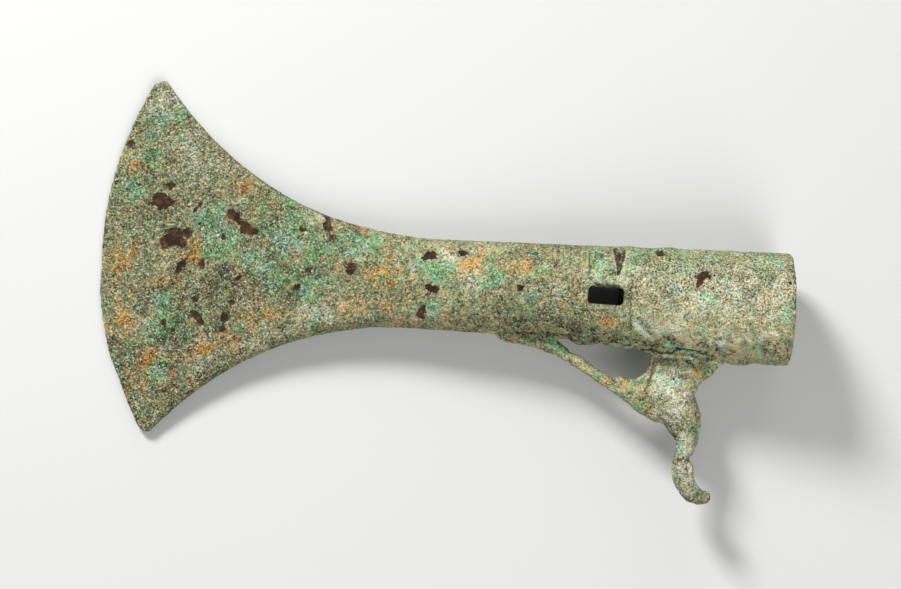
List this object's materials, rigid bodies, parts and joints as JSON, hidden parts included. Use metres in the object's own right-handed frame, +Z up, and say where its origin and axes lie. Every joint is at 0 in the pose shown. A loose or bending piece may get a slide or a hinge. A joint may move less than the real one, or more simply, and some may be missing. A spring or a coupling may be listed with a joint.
{
  "type": "socketed bronze axe head",
  "caption": "Socketed bronze axe head with a flaring crescent blade, a peg slot through its round socket and a curled leg-like openwork strut beneath; corroded green and brown.",
  "frame": {"origin": "centre of the bounding box in plan, on the surface that the axe head lies on", "axes": "+X along the length from the cutting edge toward the socket mouth, +Y across the blade away from the strut, +Z up through the thickness; the axe's own mid plane leans 4.5 degrees from level"},
  "size_m": [0.2208, 0.1228, 0.0356],
  "materials": {
    "patinated_bronze": "matte, crusted bronze patina in speckled green, tan and brown with dark red-brown bare patches"
  },
  "bodies": {
    "root": {"axe_head": "patinated_bronze"}
  },
  "joints": []
}
